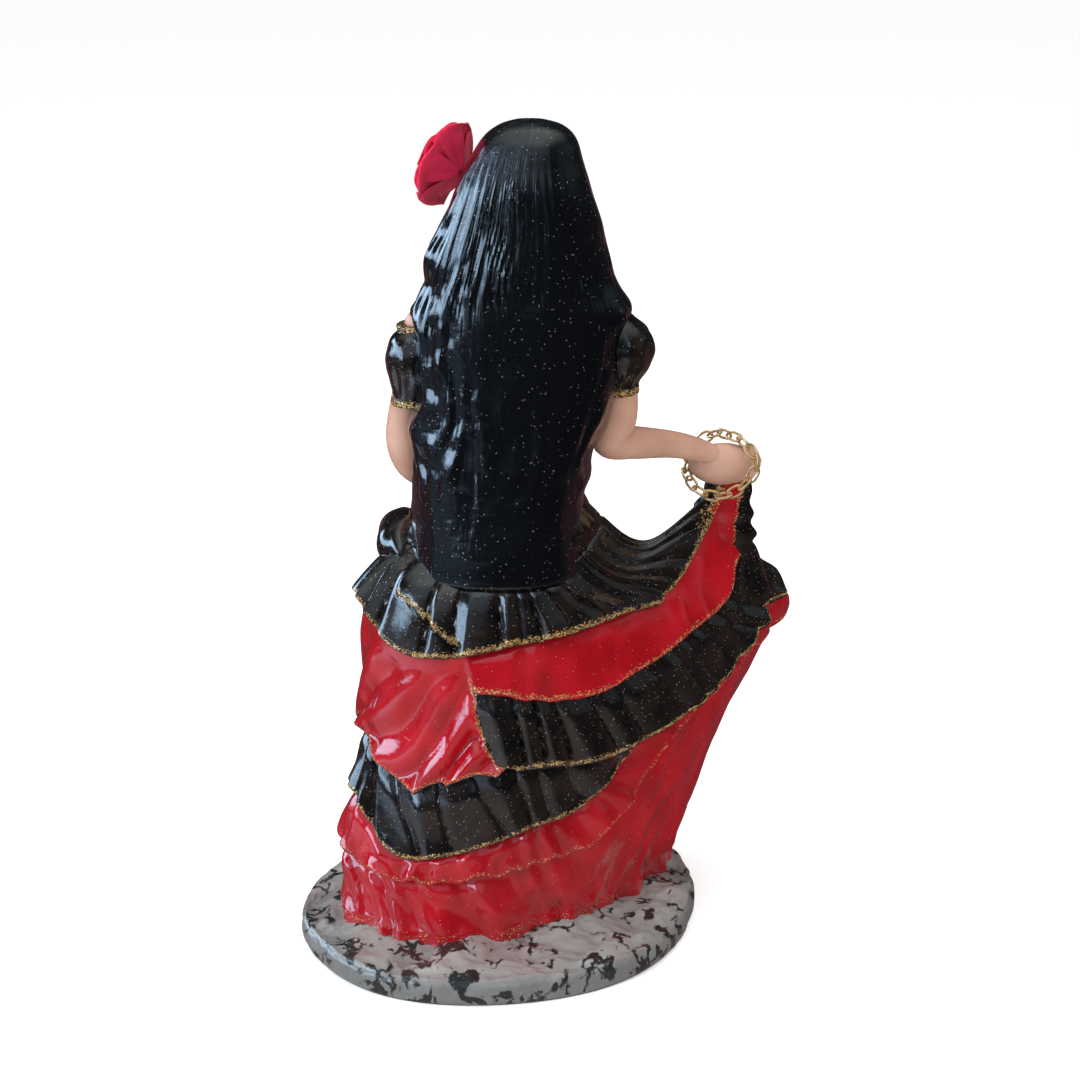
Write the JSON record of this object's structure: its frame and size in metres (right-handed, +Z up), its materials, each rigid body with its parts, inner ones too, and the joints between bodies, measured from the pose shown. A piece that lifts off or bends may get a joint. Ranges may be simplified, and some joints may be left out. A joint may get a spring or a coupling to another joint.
{
  "type": "pomba gira figurine",
  "caption": "Painted plaster dancer seen from behind with long black hair, holding out a tiered black and red skirt, on an oval stone-painted base.",
  "frame": {"origin": "centre of the base's flat underside", "axes": "+Z up, the figure faces -Y, her raised right hand is towards -X"},
  "size_m": [0.1839, 0.1318, 0.3],
  "materials": {
    "painted_plaster": "cast plaster, hand painted black, red, flesh and silver grey under a gloss varnish, with gold glitter along the hems",
    "flower_cloth": "matte crimson stamped cloth petals",
    "gilt_wire": "bright gold-coloured wire links"
  },
  "bodies": {
    "root": {"figure": "painted_plaster", "hair_flower": "flower_cloth", "bracelet_link_01": "gilt_wire", "bracelet_link_02": "gilt_wire", "bracelet_link_03": "gilt_wire", "bracelet_link_04": "gilt_wire", "bracelet_link_05": "gilt_wire", "bracelet_link_06": "gilt_wire", "bracelet_link_07": "gilt_wire", "bracelet_link_08": "gilt_wire", "bracelet_link_09": "gilt_wire", "bracelet_link_10": "gilt_wire", "bracelet_link_11": "gilt_wire", "bracelet_link_12": "gilt_wire", "bracelet_link_13": "gilt_wire", "bracelet_link_14": "gilt_wire", "bracelet_link_15": "gilt_wire", "bracelet_link_16": "gilt_wire", "bracelet_link_17": "gilt_wire", "bracelet_link_18": "gilt_wire"}
  },
  "joints": []
}
